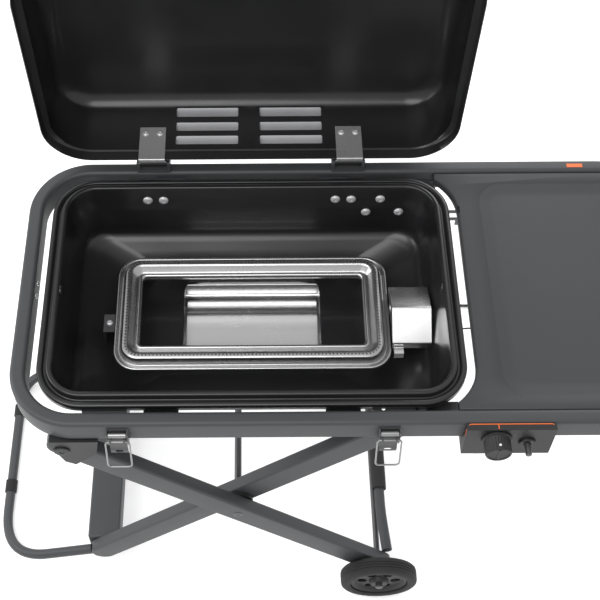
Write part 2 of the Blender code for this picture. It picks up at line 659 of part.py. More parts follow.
def make_controls():
    outline = [
        (FRAME_FRONT - GAP, PANEL_TOP), (PANEL_TOP_Y, PANEL_TOP), (PANEL_LOW_Y, PANEL_LOW),
        (20, PANEL_LOW), (20, FRAME_BOTTOM - GAP), (FRAME_FRONT - GAP, FRAME_BOTTOM - GAP),
    ]
    shape = prism_x(outline, PANEL_LEFT, PANEL_RIGHT)
    middle = (PANEL_LEFT + PANEL_RIGHT) / 2
    for vert in shape.verts:
        if vert.co.z < PANEL_LOW + 1:
            vert.co.x = middle + (vert.co.x - middle) * 0.9
    panel = add("control_panel", "frame", shape, "black_plastic")
    out = panel_normal()
    seat = on_panel(IGNITER_X, IGNITER_Z)
    well = rod(seat - out * 14, seat + out * 10, BUTTON_RADIUS + 0.6, 20)
    combine(panel, tool("igniter_well", "frame", well))
    stem, tip = BUTTON_RADIUS - 1, 9 + BUTTON_OUT
    button = [(stem, 0), (BUTTON_RADIUS, 1), (BUTTON_RADIUS, tip - 1.5), (stem, tip)]
    add("igniter_button", "igniter_button", turned(seat - out * 9, out, button), "black_plastic")
    knob = [
        (24, 0), (24, 3), (KNOB_RADIUS, 4.5),
        (KNOB_RADIUS - 0.5, KNOB_LENGTH - 1.5), (KNOB_RADIUS - 2, KNOB_LENGTH),
    ]
    base = on_panel(KNOB_X, KNOB_Z) + out * 0.6
    add("control_knob", "control_knob", turned(base, out, knob, 28), "black_plastic")

    add("gas_valve", "frame", block(344, 386, -8, 16, 624, PANEL_LOW - GAP), "aluminium", bevel=2.0)
    wall = BOX_X + BOX_HALF_X - 41.0
    gas = soft_corners([
        (wall, BURNER_Y, 640), (380, BURNER_Y, 640), (472, 235, 655),
        (472, 40, 655), (468, 6, 634), (386.5, 4, 634),
    ], 30)
    add("gas_tube", "frame", bent_tube(gas, 4.0, 8), "steel")
    lead = soft_corners([
        (wall + 7.5, 202, 655), (352, 202, 672), (460, 190, 672), (460, 45, 668),
        (460, 24, 650), (460, 15, 639), (430, 11, 640.5), (416, 9, 643.2),
    ], 18, steps=4)
    add("igniter_lead", "frame", bent_tube(lead, 1.3, 6), "rubber")


def make_latches():
    for place, x in zip(("left", "right"), LATCH_X):
        channel = [
            (x - 17, -GAP), (x + 17, -GAP), (x + 17, -12), (x + 15, -12),
            (x + 15, -2.5), (x - 15, -2.5), (x - 15, -12), (x - 17, -12),
        ]
        base = add(f"latch_base_{place}", "frame", prism_z(channel, 675, 709), "dark_steel")
        pin = tool(f"latch_pin_{place}", "frame", rod(
            (x - 16, LATCH_PIN_Y, LATCH_PIN_Z), (x + 16, LATCH_PIN_Y, LATCH_PIN_Z), 2.2
        ))
        combine(base, pin, operation="UNION")

        owner = f"latch_lever_{place}"
        front = LATCH_PIN_Y - 4.4
        plate = [(front, 648), (front, LATCH_PIN_Z), (front + 1.8, LATCH_PIN_Z), (front + 1.8, 648)]
        lever = add(owner, owner, prism_x(plate, x - 14, x + 14), "dark_steel")
        line = (LATCH_PIN_Y, LATCH_PIN_Z)
        roll = tool(f"lever_roll_{place}", owner, rod((x - 14, *line), (x + 14, *line), 4.4))
        combine(lever, roll, operation="UNION")
        combine(lever, tool(f"lever_bore_{place}", owner, rod((x - 18, *line), (x + 18, *line), 2.2 + GAP)))

        low_y, low_z = BAIL_Y - BAIL_LENGTH * sin(BAIL_LEAN), BAIL_Z - BAIL_LENGTH * cos(BAIL_LEAN)
        loop = soft_corners([
            (x - 19, BAIL_Y, BAIL_Z), (x + 19, BAIL_Y, BAIL_Z), (x + 19, low_y, low_z), (x - 19, low_y, low_z),
        ], 7, steps=3, closed=True)
        name = f"latch_bail_{place}"
        add(name, name, bent_tube(loop, 1.5, 8, closed=True), "steel")


def make_bodies():
    body("frame")
    body("lid", (BOX_X, HINGE_Y, HINGE_Z), "frame")
    body("legs_a", (TOP_LEFT[0], MIDDLE_Y, TOP_LEFT[1]), "frame")
    body("legs_b", (CROSSING[0], MIDDLE_Y, CROSSING[1]), "legs_a")
    body("wheel_front", (LOW_RIGHT[0], -21, LOW_RIGHT[1]), "legs_a")
    body("wheel_rear", (LOW_RIGHT[0], FRAME_BACK + 21, LOW_RIGHT[1]), "legs_a")
    body("drip_tray", (BOX_X, BOX_Y, TRAY_TOP), "frame")
    body("control_knob", on_panel(KNOB_X, KNOB_Z), "frame")
    body("igniter_button", on_panel(IGNITER_X, IGNITER_Z), "frame")
    for place, x in zip(("left", "right"), LATCH_X):
        body(f"latch_lever_{place}", (x, LATCH_PIN_Y, LATCH_PIN_Z), "frame")
        body(f"latch_bail_{place}", (x, BAIL_Y, BAIL_Z), f"latch_lever_{place}")


def main():
    clear_scene()
    make_bodies()
    make_frame_tube()
    make_side_table()
    make_pivot_brackets()
    make_slide_tracks()
    make_firebox()
    make_firebox_brackets()
    make_burner()
    make_drip_tray()
    make_lid()
    make_hinges()
    make_legs()
    make_foot()
    make_sliders()
    make_wheels()
    make_controls()
    make_latches()


main()
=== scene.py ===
import json
from math import atan2, cos, degrees, pi, radians, sin

import bmesh
import bpy
from mathutils import Matrix, Vector


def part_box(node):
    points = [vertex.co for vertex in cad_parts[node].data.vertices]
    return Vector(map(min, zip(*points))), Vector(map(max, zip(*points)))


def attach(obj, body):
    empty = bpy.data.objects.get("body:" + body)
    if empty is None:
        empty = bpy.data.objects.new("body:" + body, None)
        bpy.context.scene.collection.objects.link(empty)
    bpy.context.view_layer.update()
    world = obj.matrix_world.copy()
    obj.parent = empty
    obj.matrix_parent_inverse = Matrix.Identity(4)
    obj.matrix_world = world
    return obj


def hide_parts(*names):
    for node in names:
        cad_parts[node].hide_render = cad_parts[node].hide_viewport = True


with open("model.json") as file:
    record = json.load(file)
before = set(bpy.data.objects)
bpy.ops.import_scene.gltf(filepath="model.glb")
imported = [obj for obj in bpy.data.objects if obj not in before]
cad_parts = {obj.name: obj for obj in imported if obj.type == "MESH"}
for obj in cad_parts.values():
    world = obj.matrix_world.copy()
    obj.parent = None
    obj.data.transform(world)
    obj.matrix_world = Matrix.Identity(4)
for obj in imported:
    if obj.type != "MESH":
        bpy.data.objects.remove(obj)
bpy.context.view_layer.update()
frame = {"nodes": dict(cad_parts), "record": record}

# Lengths are design millimetres: X along the frame, Y from the front face back, Z above the ground.
MM = 0.001
tube_low, tube_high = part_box("frame_tube")
FRAME_LEFT, FRAME_RIGHT = -398.0, 709.0
FRAME_BACK = (tube_high.y - tube_low.y) / MM
FRAME_TOP, FRAME_BOTTOM = tube_high.z / MM, tube_low.z / MM
TUBE_WIDTH, TUBE_EDGE, FRAME_CORNER = 25.0, 7.0, 105.0
MIDDLE_Y = FRAME_BACK / 2
SHIFT = Vector((tube_low.x - FRAME_LEFT * MM, tube_low.y, 0.0))

BOX_X, BOX_Y, BOX_HALF_X, BOX_HALF_Y, BOX_CORNER = -11.0, 263.0, 346.0, 227.0, 76.0
INNER_CORNER, FLOOR_TOP, SHEET = 45.0, 560.0, 2.0
LID_HALF_X, LID_HALF_Y, LID_CORNER, LID_RIM, LID_STEP = 354.0, 216.0, 80.0, 717.5, 9.0
LID_BACK, LID_FRONT = BOX_Y + LID_HALF_Y, BOX_Y - LID_HALF_Y
HINGE_Y, HINGE_Z, HINGE_SPREAD, HINGE_WIDTH = 508.5, 736.0, 172.5, 46.0
LOUVRE_X, LOUVRE_ROWS, LEAF_TOP = -14.0, (762, 793, 824), LID_RIM + 72
LID_BEND = 795.0  # the lid's walls lean in above this height
GRIP_HALF, GRIP_REACH, GRIP_Z = 150.0, 40.0, 778.0
TOP_LEFT, CROSSING = (-316.0, 640.0), (-39.0, 358.0)
LOW_RIGHT = (2 * CROSSING[0] - TOP_LEFT[0], 2 * CROSSING[1] - TOP_LEFT[1])
TOP_RIGHT, LOW_LEFT = (LOW_RIGHT[0], TOP_LEFT[1]), (TOP_LEFT[0], LOW_RIGHT[1])
LEG_DEPTH, LEG_HALF, LEG_EDGE, LEG_B_FRONT = 25.0, 25.5, 5.0, 33.0
BURNER_X, BURNER_Y, BURNER_HALF_X, BURNER_HALF_Y, BURNER_CORNER = -10.0, 264.0, 237.0, 114.5, 40.0
TRAY_HALF_X, TRAY_HALF_Y, TRAY_TOP = 150.0, 129.0, 540.0
PANEL_LEFT, PANEL_RIGHT, PANEL_TOP, PANEL_LOW = 321.5, 461.0, 719.5, 645.0
PANEL_TOP_Y, PANEL_LOW_Y = -12.0, -16.0
KNOB_X, KNOB_Z, IGNITER_X, IGNITER_Z = 371.0, 692.0, 420.0, 682.0
LATCH_X = {"left": -221.0, "right": 204.0}
LATCH_PIN_Y, LATCH_PIN_Z, LEVER_HALF = -8.0, 702.0, 14.0
BAIL_Y, BAIL_Z, BAIL_HALF, BAIL_LENGTH, BAIL_LEAN = -15.0, 693.0, 19.0, 59.5, radians(15)
TABLE_TOP, TABLE_BOTTOM, EAR_X, EAR_RADIUS, RECESS_X = 716.0, 698.0, 314.0, 90.0, 516.5
FOOT_X, FOOT_RADIUS, RING_RADIUS, RING_WIDTH = -535.0, 10.0, 12.5, 28.0


# ---------------------------------------------------------------- materials


def surface(name, colour, roughness, metallic=0.0, grain=900.0, depth=0.00012, stretch=(1, 1, 1), tint=0.10,
            spread=0.06, coat=0.0, soil=0.0):
    """A painted, moulded or brushed finish: fine grain bump, drifting colour and uneven gloss."""
    made = bpy.data.materials.new(name)
    made.use_nodes = True
    nodes, links = made.node_tree.nodes, made.node_tree.links
    shader = nodes["Principled BSDF"]
    shader.inputs["Metallic"].default_value = metallic
    shader.inputs["Coat Weight"].default_value = coat
    shader.inputs["Coat Roughness"].default_value = 0.12
    place = nodes.new("ShaderNodeTexCoord")
    mapping = nodes.new("ShaderNodeMapping")
    mapping.inputs["Scale"].default_value = stretch
    links.new(place.outputs["Object"], mapping.inputs["Vector"])

    fine = nodes.new("ShaderNodeTexNoise")
    fine.inputs["Scale"].default_value = grain
    fine.inputs["Detail"].default_value = 4.0
    links.new(mapping.outputs["Vector"], fine.inputs["Vector"])
    bump = nodes.new("ShaderNodeBump")
    bump.inputs["Distance"].default_value = depth
    bump.inputs["Strength"].default_value = 0.7
    links.new(fine.outputs["Fac"], bump.inputs["Height"])
    links.new(bump.outputs["Normal"], shader.inputs["Normal"])

    broad = nodes.new("ShaderNodeTexNoise")
    broad.inputs["Scale"].default_value = 9.0
    broad.inputs["Detail"].default_value = 6.0
    broad.inputs["Roughness"].default_value = 0.65
    links.new(place.outputs["Object"], broad.inputs["Vector"])
    mixed = nodes.new("ShaderNodeMath")
    mixed.operation = "MULTIPLY_ADD"
    mixed.inputs[1].default_value = 0.35
    links.new(fine.outputs["Fac"], mixed.inputs[0])
    links.new(broad.outputs["Fac"], mixed.inputs[2])
    shade = nodes.new("ShaderNodeValToRGB")
    dark, light = shade.color_ramp.elements
    dark.position, light.position = 0.35, 0.95
    dark.color = (*[c * (1 - tint) for c in colour], 1)
    light.color = (*[min(c * (1 + tint), 1.0) for c in colour], 1)
    if soil:
        spot = shade.color_ramp.elements.new(0.42)
        spot.color = (*[c * (1 - soil) for c in colour], 1)
    links.new(mixed.outputs["Value"], shade.inputs["Fac"])
    links.new(shade.outputs["Color"], shader.inputs["Base Color"])
    gloss = nodes.new("ShaderNodeMapRange")
    gloss.inputs["From Min"].default_value = 0.3
    gloss.inputs["From Max"].default_value = 0.9
    gloss.inputs["To Min"].default_value = max(roughness - spread, 0.03)
    gloss.inputs["To Max"].default_value = min(roughness + spread, 1.0)
    links.new(mixed.outputs["Value"], gloss.inputs["Value"])
    links.new(gloss.outputs["Result"], shader.inputs["Roughness"])
    return made


BRUSHED_X = (0.02, 1, 1)
M = {
    "frame_paint": surface("frame_powder_coat", (0.053, 0.055, 0.058), 0.50, 0.25, 1500, 0.00010, tint=0.07),
    "enamel": surface("black_enamel", (0.010, 0.010, 0.011), 0.30, 0.0, 700, 0.00008, tint=0.2, coat=0.15),
    "table_plastic": surface("table_grain", (0.030, 0.031, 0.033), 0.55, 0.0, 2600, 0.00016, tint=0.06),
    "black_plastic": surface("black_plastic", (0.008, 0.008, 0.009), 0.48, 0.0, 2200, 0.00012, tint=0.1),
    "steel": surface("polished_steel", (0.66, 0.66, 0.66), 0.20, 1.0, 1400, 0.00003, BRUSHED_X, 0.06, 0.07),
    "aluminium": surface("bright_sheet", (0.70, 0.70, 0.70), 0.26, 1.0, 1300, 0.00001, BRUSHED_X, 0.03, 0.02),
    "dark_steel": surface("dark_steel", (0.10, 0.10, 0.104), 0.34, 0.7, 1200, 0.00006, tint=0.12),
    "rubber": surface("black_rubber", (0.016, 0.016, 0.016), 0.75, 0.0, 1600, 0.0002, tint=0.15),
}
GREY_LEVER = surface("latch_grey", (0.075, 0.075, 0.078), 0.40, 0.5, 1300, 0.00005, tint=0.12)
ORANGE = surface("orange_trim", (0.72, 0.13, 0.015), 0.4, 0.0, 1500, 0.00005, tint=0.05)
BURNER_STEEL = surface("burner_steel", (0.46, 0.46, 0.46), 0.27, 1.0, 1400, 0.00001, tint=0.04, spread=0.03)
WIRE = surface("bail_wire", (0.30, 0.30, 0.30), 0.30, 0.9, 1400, 0.00002, tint=0.05)
HINGE_STEEL = surface("hinge_steel", (0.42, 0.42, 0.42), 0.28, 0.7, 1400, 0.00002, tint=0.06)
ZINC = surface("screw_zinc", (0.55, 0.55, 0.56), 0.36, 0.5, 1300, 0.00004, tint=0.1)
# Painted light: the louvre linings are light grey to stand for the light caught inside the black enamel
# scoops.
LOUVRE_PAINTED_LIGHT = surface("louvre_painted_light", (0.33, 0.33, 0.34), 0.42, 0.2, 900, 0.00006, tint=0.12)
# Painted shade: the burner ports are dark discs standing for the shadow inside each port hole.
PORT_PAINTED_SHADE = surface("port_shadow", (0.015, 0.015, 0.015), 0.8, 0.0, 1500, 0.00005, tint=0.05)
WHITE_MARK = surface("white_mark", (0.75, 0.75, 0.75), 0.5, 0.0, 1500, 0.00005, tint=0.03)

slot_of = {part["node"]: part["material_slot"] for part in frame["record"]["subparts"]}
for node, thing in frame["nodes"].items():
    thing.data.materials.clear()
    thing.data.materials.append(M[slot_of[node]])


# ---------------------------------------------------------------- shapes


def to_row(point):
    return Vector(point) * MM + SHIFT


def piece(name, shape, material, owner, stands_for=(), bevel=0.0, sharp=30.0, subdivide=0, cuts=()):
    """Makes a shape in design millimetres into a piece of the grill that rides on one body."""
    bmesh.ops.recalc_face_normals(shape, faces=shape.faces)
    for vert in shape.verts:
        vert.co = to_row(vert.co)
    mesh = bpy.data.meshes.new(name)
    shape.to_mesh(mesh)
    shape.free()
    mesh.materials.append(material)
    made = bpy.data.objects.new(name, mesh)
    bpy.context.scene.collection.objects.link(made)
    if cuts:
        apply_cuts(made, cuts)
    made.data.shade_smooth()
    made.data.set_sharp_from_angle(angle=radians(sharp))
    if bevel:
        rounding = made.modifiers.new("edges", "BEVEL")
        rounding.width = bevel * MM
        rounding.segments = 3
        rounding.limit_method = "ANGLE"
        rounding.angle_limit = radians(35)
        rounding.harden_normals = True
    if subdivide:
        smooth = made.modifiers.new("smooth", "SUBSURF")
        smooth.levels = smooth.render_levels = subdivide
    if stands_for:
        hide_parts(*stands_for)
    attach(made, owner)
    return made


def apply_cuts(target, cuts):
    """Cuts the shapes out of a mesh at once, so that no cutter stays in the scene."""
    helpers = []
    for i, cut in enumerate(cuts):
        bmesh.ops.recalc_face_normals(cut, faces=cut.faces)
        for vert in cut.verts:
            vert.co = to_row(vert.co)
        mesh = bpy.data.meshes.new(f"cut_{i}")
        cut.to_mesh(mesh)
        cut.free()
        helper = bpy.data.objects.new(f"cut_{i}", mesh)
        bpy.context.scene.collection.objects.link(helper)
        step = target.modifiers.new(f"cut_{i}", "BOOLEAN")
        step.object = helper
        helpers.append(helper)
    bpy.context.view_layer.update()
    shaped = target.evaluated_get(bpy.context.evaluated_depsgraph_get())
    mesh = bpy.data.meshes.new_from_object(shaped)
    target.modifiers.clear()
    target.data = mesh
    for helper in helpers:
        bpy.data.objects.remove(helper)


def loft(loops, closed=False):
    """Skins rings of points that all have the same count; open ends are capped."""
    shape = bmesh.new()
    rings = [[shape.verts.new(p) for p in loop] for loop in loops]
    pairs = list(zip(rings, rings[1:]))
    if closed:
        pairs.append((rings[-1], rings[0]))
    count = len(rings[0])
    for low, high in pairs:
        for i in range(count):
            j = (i + 1) % count
            shape.faces.new((low[i], low[j], high[j], high[i]))
    if not closed:
        shape.faces.new(list(reversed(rings[0])))
        shape.faces.new(rings[-1])
    return shape


def joined(shapes):
    """Puts several separate small solids, such as a row of screws, in one mesh."""
    whole = bmesh.new()
    for shape in shapes:
        bmesh.ops.recalc_face_normals(shape, faces=shape.faces)
        mesh = bpy.data.meshes.new("part")
        shape.to_mesh(mesh)
        shape.free()
        whole.from_mesh(mesh)
        bpy.data.meshes.remove(mesh)
    return whole


def rounded_rect(centre, half_x, half_y, corner, z, steps=16, runs=1):
    """A ring of points round a rectangle with round corners; runs splits each straight side."""
    points = []
    for quarter, (sx, sy) in enumerate(((1, 1), (-1, 1), (-1, -1), (1, -1))):
        for step in range(steps + 1):
            turn = pi / 2 * (quarter + step / steps)
            x = centre[0] + sx * (half_x - corner) + corner * cos(turn)
            y = centre[1] + sy * (half_y - corner) + corner * sin(turn)
            points.append((x, y, z))
    if runs == 1:
        return points
    split = []
    for i, here in enumerate(points):
        split.append(here)
        if i % (steps + 1) == steps:
            after = points[(i + 1) % len(points)]
            for k in range(1, runs):
                share = k / runs
                split.append(tuple(a + (b - a) * share for a, b in zip(here, after)))
    return split


def arc(centre, radius, start, end, steps):
    """Points of an arc in a plane, angles in degrees."""
    turns = [radians(start + (end - start) * i / steps) for i in range(steps + 1)]
    return [(centre[0] + radius * cos(t), centre[1] + radius * sin(t)) for t in turns]


def eased(keys, steps):
    """Catmull-Rom points through the keys, which are tuples of numbers."""
    points = []
    for i in range(len(keys) - 1):
        a, b, c, d = keys[max(i - 1, 0)], keys[i], keys[i + 1], keys[min(i + 2, len(keys) - 1)]
        for step in range(steps):
            t = step / steps
            points.append(tuple(
                0.5 * (2 * q + (r - p) * t + (2 * p - 5 * q + 4 * r - s) * t**2
                       + (3 * q - p - 3 * r + s) * t**3)
                for p, q, r, s in zip(a, b, c, d)
            ))
    return points + [keys[-1]]


def prism(outline, low, high, axis):
    """An outline drawn across one axis and carried along it."""
    order = {
        "x": lambda u, v, w: (w, u, v), "y": lambda u, v, w: (u, w, v), "z": lambda u, v, w: (u, v, w),
    }[axis]
    return loft([[order(u, v, w) for u, v in outline] for w in (low, high)])


def turned(base, axis, profile, steps=32, closed=False):
    """A turned piece: profile is (radius, distance along the axis) pairs from the base point."""
    axis = Vector(axis).normalized()
    side = axis.orthogonal().normalized()
    up = axis.cross(side)
    loops = []
    for radius, along in profile:
        middle = Vector(base) + axis * along
        turns = [2 * pi * i / steps for i in range(steps)]
        loops.append([middle + (side * cos(t) + up * sin(t)) * radius for t in turns])
    return loft(loops, closed)


def soft_corners(points, radius, steps=8, closed=False):
    """Replaces each bend of a route with a smooth curve that starts one radius before it."""
    points = [Vector(p) for p in points]
    count = len(points)
    smooth = []
    for i, here in enumerate(points):
        if not closed and i in (0, count - 1):
            smooth.append(here)
            continue
        before, after = points[i - 1], points[(i + 1) % count]
        first = here + (before - here).normalized() * min(radius, (before - here).length / 2.01)
        last = here + (after - here).normalized() * min(radius, (after - here).length / 2.01)
        for step in range(steps + 1):
            t = step / steps
            smooth.append(first * (1 - t) ** 2 + here * (2 * t * (1 - t)) + last * t**2)
    return smooth


def bent_tube(route, radius, steps=20, closed=False):
    """A round bar along a route, its rings carried from point to point without twist."""
    count = len(route)
    loops = []
    side = None
    for i, here in enumerate(route):
        after = route[(i + 1) % count] if closed or i < count - 1 else here
        before = route[i - 1] if closed or i > 0 else here
        along = (after - before).normalized()
        side = along.orthogonal() if side is None else side - along * side.dot(along)
        side.normalize()
        up = along.cross(side)
        turns = [2 * pi * k / steps for k in range(steps)]
        loops.append([here + (side * cos(t) + up * sin(t)) * radius for t in turns])
    return loft(loops, closed)


def strip(route, thickness):
    """The outline of sheet metal that follows a route in a plane, bends included."""
    left, right = [], []
    for i, here in enumerate(route):
        before, after = route[max(i - 1, 0)], route[min(i + 1, len(route) - 1)]
        first = atan2(here[1] - before[1], here[0] - before[0]) if i else None
        last = atan2(after[1] - here[1], after[0] - here[0]) if i < len(route) - 1 else first
        first = last if first is None else first
        half_turn = (last - first) / 2
        reach = thickness / 2 / cos(half_turn)
        normal = first + half_turn + pi / 2
        left.append((here[0] + reach * cos(normal), here[1] + reach * sin(normal)))
        right.append((here[0] - reach * cos(normal), here[1] - reach * sin(normal)))
    return left + right[::-1]


def rounded_route(route, radius, steps=5):
    return [(p.x, p.y) for p in soft_corners([(a, b, 0) for a, b in route], radius, steps)]


def stadium(start, end, radius, steps=20):
    lean = degrees(atan2(end[1] - start[1], end[0] - start[0]))
    return arc(start, radius, lean + 90, lean + 270, steps) + arc(end, radius, lean - 90, lean + 90, steps)


def swing_open(shape):
    """Turns a piece of the shut lid a quarter turn about the hinge line."""
    line = Vector((0, HINGE_Y, HINGE_Z))
    shape.transform(Matrix.Translation(line) @ Matrix.Rotation(-pi / 2, 4, "X") @ Matrix.Translation(-line))
    return shape


def screw(seat, axis, radius=5.5, height=3.0, socket=True):
    """A button-head screw that stands on a face, with a socket sunk in its crown."""
    dome = [(radius, 0.0), (radius, height * 0.25), (radius * 0.93, height * 0.55)]
    dome += [(radius * 0.72, height * 0.85), (radius * 0.45, height)]
    if socket:
        dome += [(radius * 0.40, height * 0.97), (radius * 0.36, height * 0.35)]
    return turned(seat, axis, dome, 24)


# ---------------------------------------------------------------- frame


def make_frame():
    section = []
    for (inset, z), start in (
        ((TUBE_EDGE, FRAME_TOP - TUBE_EDGE), 180),
        ((TUBE_WIDTH - TUBE_EDGE, FRAME_TOP - TUBE_EDGE), 90),
        ((TUBE_WIDTH - TUBE_EDGE, FRAME_BOTTOM + TUBE_EDGE), 0),
        ((TUBE_EDGE, FRAME_BOTTOM + TUBE_EDGE), -90),
    ):
        section += arc((inset, z), TUBE_EDGE, start, start - 90, 8)
    half_x, centre = (FRAME_RIGHT - FRAME_LEFT) / 2, ((FRAME_LEFT + FRAME_RIGHT) / 2, MIDDLE_Y)
    loops = [
        rounded_rect(centre, half_x - d, MIDDLE_Y - d, FRAME_CORNER - d, z, 28, 4) for d, z in section
    ]
    piece("frame_loop", loft(loops, closed=True), M["frame_paint"], "frame", ["frame_tube"])

    tag = [(0, 0), (28, 0), (28, 8), (0, 8)]
    tag = [(552 + x, FRAME_BACK - 17.5 + y) for x, y in tag]
    tag = prism(tag, FRAME_TOP - 0.2, FRAME_TOP + 0.5, "z")
    piece("rear_tag", tag, ORANGE, "frame", bevel=0.2)
    rivets = [screw((FRAME_LEFT + TUBE_WIDTH, MIDDLE_Y + y, 700), (1, 0, 0), 4.5, 3.0) for y in (-9, 16)]
    piece("left_tube_screws", joined(rivets), M["steel"], "frame")


def table_outline(inset):
    inner_right = FRAME_RIGHT - TUBE_WIDTH - 0.3 - inset
    front, back = TUBE_WIDTH + 0.3 + inset, FRAME_BACK - TUBE_WIDTH - 0.3 - inset
    corner = FRAME_CORNER - TUBE_WIDTH - inset
    ear_x = BOX_X + BOX_HALF_X - BOX_CORNER
    ear_front, ear_back = BOX_Y - BOX_HALF_Y + BOX_CORNER, BOX_Y + BOX_HALF_Y - BOX_CORNER
    radius, tip = EAR_RADIUS + inset, EAR_X + inset * 0.6
    reach = degrees(atan2((radius**2 - (tip - ear_x) ** 2) ** 0.5, tip - ear_x))
    outline = [(tip, front)]
    outline += arc((ear_x, ear_front), radius, -reach, 0, 20)
    outline += arc((ear_x, ear_back), radius, 0, reach, 20)
    outline += [(tip, back)]
    outline += arc((inner_right - corner, back - corner), corner, 90, 0, 20)
    outline += arc((inner_right - corner, front + corner), corner, 0, -90, 20)
    return outline


def make_table():
    """A moulded tray with a rolled edge round a shallow sunk panel."""
    rings = []
    for inset, z in (
        (2.2, TABLE_BOTTOM), (0.4, TABLE_BOTTOM + 1.5), (0, TABLE_TOP - 3.5), (0.8, TABLE_TOP - 1.4),
        (2.2, TABLE_TOP - 0.4), (4.2, TABLE_TOP),
    ):
        rings.append([(x, y, z) for x, y in table_outline(inset)])
    centre = (RECESS_X, MIDDLE_Y)
    sunk = loft([rounded_rect(centre, 104 + d, 187 + d, 18.0 + d, TABLE_TOP - drop, 12) for d, drop in (
        (-2, 3.5), (2, 3.4), (8, 2.7), (16, 1.5), (22, 0.6), (26, 0.1), (27, -0.6),
    )])
    notch = prism([(343, 405), (353, 409), (353, 424), (343, 428)], TABLE_TOP - 9, TABLE_TOP + 2, "z")
    piece("table_tray", loft(rings), M["table_plastic"], "frame", ["side_table"],
          sharp=40, cuts=[sunk, notch])


# ---------------------------------------------------------------- firebox and burner


def make_firebox():
    def rim(inset, z):
        return (BOX_HALF_X - inset, BOX_Y, BOX_HALF_Y - inset, max(BOX_CORNER - inset, INNER_CORNER), z)

    def bowl(half_x, front, back, corner, z):
        return (half_x, (front + back) / 2, (back - front) / 2, corner, z)

    edge = [rim(d, z) for d, z in (
        (0.4, 700), (0, 700.6), (0, 710.5), (0.5, 712.6), (1.9, 714), (8.2, 714), (9.4, 713), (10.4, 709.8),
        (11.2, 709), (14.4, 709), (15.2, 709.8), (16.2, 717.5), (17.0, 719.3), (18.6, 720), (23.4, 720),
        (25.2, 719.2), (26, 717),
    )]
    wall = eased([
        rim(26, 717), rim(30, 690), rim(35, 668), rim(39, 640), bowl(303, 88, 447, INNER_CORNER, 612),
        bowl(292, 100, 435, 52, 600),
    ], 6)
    wall += [
        bowl(288, 103, 433.2, 52, 598.4), bowl(196, 173, 394.5, 44, FLOOR_TOP + 3.4),
        bowl(190, 178, 392, 44, FLOOR_TOP + 1.4), bowl(182, 180, 391, 43, FLOOR_TOP + 0.9),
        bowl(126, 187, 386.6, 39, FLOOR_TOP + 0.1),
    ]
    lip = [
        bowl(half_x, front, back, corner, FLOOR_TOP + up) for half_x, front, back, corner, up in (
            (124, 187.4, 386.4, 38.4, -0.1), (123, 188, 386, 38, -1), (124, 187.4, 386.4, 38.4, -SHEET),
        )
    ]
    under = [
        bowl(186, 179, 391.4, 43, FLOOR_TOP - 1.8), bowl(194, 175, 394, 44.5, FLOOR_TOP + 0.4),
        bowl(290, 101, 435, 53, 596.4),
    ]
    under += eased([
        bowl(294, 98, 437, 54, 598), bowl(305, 86, 449, INNER_CORNER, 611), rim(37, 639.5),
        rim(33, 667.5), rim(28, 689), rim(24.2, 706.9),
    ], 5)
    back = [rim(d, z) for d, z in ((2.2, 706.9), (1.8, 706), (1.8, 700.6), (1.4, 700))]
    keys = edge + wall[1:] + lip + under + back
    loops = [rounded_rect((BOX_X, cy), hx, hy, r, z, 20, 6) for hx, cy, hy, r, z in keys]
    gas_way = turned((270, BURNER_Y, 640), (1, 0, 0), [(4.6, 0), (4.6, 60)], 20)
    piece("firebox_bowl", loft(loops, closed=True), M["enamel"], "frame", ["firebox"], sharp=50,
          cuts=[gas_way])

    back_wall, front_wall = BOX_Y + BOX_HALF_Y, BOX_Y - BOX_HALF_Y
    heads = [screw((x, back_wall - 29.9, 691), (0, -1, 0.1), 8.6, 4.2) for x in (-195, -167, 139, 167, 219)]
    heads += [screw((x, back_wall - 36.0, 661), (0, -1, 0.1), 8.6, 4.2) for x in (195, 254)]
    for x in (-172, -143.5, 124, 153, 228):
        heads.append(screw((x, front_wall + 28.6, 699), (0, 1, 0.3), 8.0, 5.0))
    piece("wall_screws", joined(heads), ZINC, "frame")

    dimples = []
    for x, way in ((BOX_X - BOX_HALF_X + 27.0, 1), (BOX_X + BOX_HALF_X - 27.0, -1)):
        dimples.append(turned((x, BOX_Y - 8, 712), (way, 0, 0), [(9, -0.5), (9, 1), (7.5, 2.4), (4, 3)], 24))
    piece("rim_rests", joined(dimples), M["enamel"], "frame")

    outline = [(196, 44), (265, 44), (265, 34), (262, 31), (184, 31), (178, 36), (184, 44)]
    plate = prism(outline, 696.5, 699.0, "z")
    piece("latch_side_plate", plate, M["dark_steel"], "frame", bevel=0.6,
          cuts=[turned((x, 37.5, 690), (0, 0, 1), [(3.2, 0), (3.2, 20)], 20) for x in (197, 250)])
    outline = [(-280, 44), (-209, 44), (-209, 31), (-276, 31), (-280, 35)]
    plate = prism(outline, 696.5, 699.0, "z")
    piece("left_side_plate", plate, M["frame_paint"], "frame", bevel=0.6)


